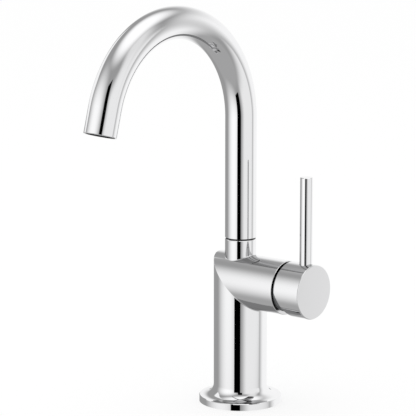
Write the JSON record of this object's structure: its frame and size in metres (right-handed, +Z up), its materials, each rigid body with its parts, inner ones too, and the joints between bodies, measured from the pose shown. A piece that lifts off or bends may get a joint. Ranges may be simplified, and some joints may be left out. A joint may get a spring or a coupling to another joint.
{
  "type": "gooseneck bar faucet",
  "caption": "Single-lever bar faucet with a round flanged column, a side barrel with a rod lever, and a swivelling gooseneck spout.",
  "frame": {"origin": "on the column's axis at the underside of the foot, which rests on the deck", "axes": "+Z up, the spout reaches towards -Y (the front), the barrel and the lever point to +X"},
  "size_m": [0.095, 0.1836, 0.2866],
  "materials": {
    "chrome_plated_brass": "polished chrome plate",
    "chrome_plated_tube": "polished chrome plate",
    "chrome_plated_rod": "polished chrome plate",
    "turned_brass": "turned",
    "turned_steel": "turned",
    "black_rubber": "matt",
    "black_acetal": "moulded",
    "white_acetal": "moulded",
    "grey_acetal": "moulded",
    "lapped_ceramic": "lapped"
  },
  "bodies": {
    "fixed": {"body_casting": "chrome_plated_brass", "base_gasket": "black_rubber", "swivel_spigot": "turned_brass", "spigot_bearing_rings": "white_acetal", "spigot_o_rings": "black_rubber", "snap_ring": "turned_steel", "swivel_washer": "black_acetal", "cartridge_base": "white_acetal", "port_seals": "black_rubber", "fixed_ceramic_disc": "lapped_ceramic", "cartridge_housing": "white_acetal", "bonnet_nut": "turned_brass", "bonnet": "chrome_plated_brass"},
    "spout": {"spout_tube": "chrome_plated_tube", "spout_sleeve": "turned_brass", "aerator_seat": "turned_brass", "aerator_housing": "grey_acetal", "aerator_jet_disc": "white_acetal", "aerator_screen": "turned_steel", "aerator_washer": "black_rubber"},
    "rotor": {"cartridge_rotor": "white_acetal", "stem_pivot_pin": "turned_steel", "rotor_o_ring": "black_rubber"},
    "handle": {"cartridge_stem": "turned_steel", "handle_hub": "chrome_plated_brass", "lever_rod": "chrome_plated_rod", "handle_set_screw": "turned_steel"},
    "disc": {"moving_ceramic_disc": "lapped_ceramic", "disc_carrier": "white_acetal"}
  },
  "joints": [
    {"name": "spout_swivel", "type": "hinge", "parent": "fixed", "child": "spout", "pos_m": [0, 0, 0.1188], "axis": [0, 0, 1], "continuous": true},
    {"name": "temperature_turn", "type": "hinge", "parent": "fixed", "child": "rotor", "pos_m": [0.0382, 0, 0.0884], "axis": [1, 0, 0], "range_deg": [-45, 45]},
    {"name": "flow_tilt", "type": "hinge", "parent": "rotor", "child": "handle", "pos_m": [0.0382, 0, 0.0884], "axis": [0, 1, 0], "range_deg": [0, 20]},
    {"name": "disc_slide", "type": "slide", "parent": "rotor", "child": "disc", "axis": [0, 0, 1], "range_m": [0, 0.0042]}
  ],
  "couplings": [
    {"joint": "disc_slide", "follows": "flow_tilt", "m_per_rad": 0.01194}
  ]
}
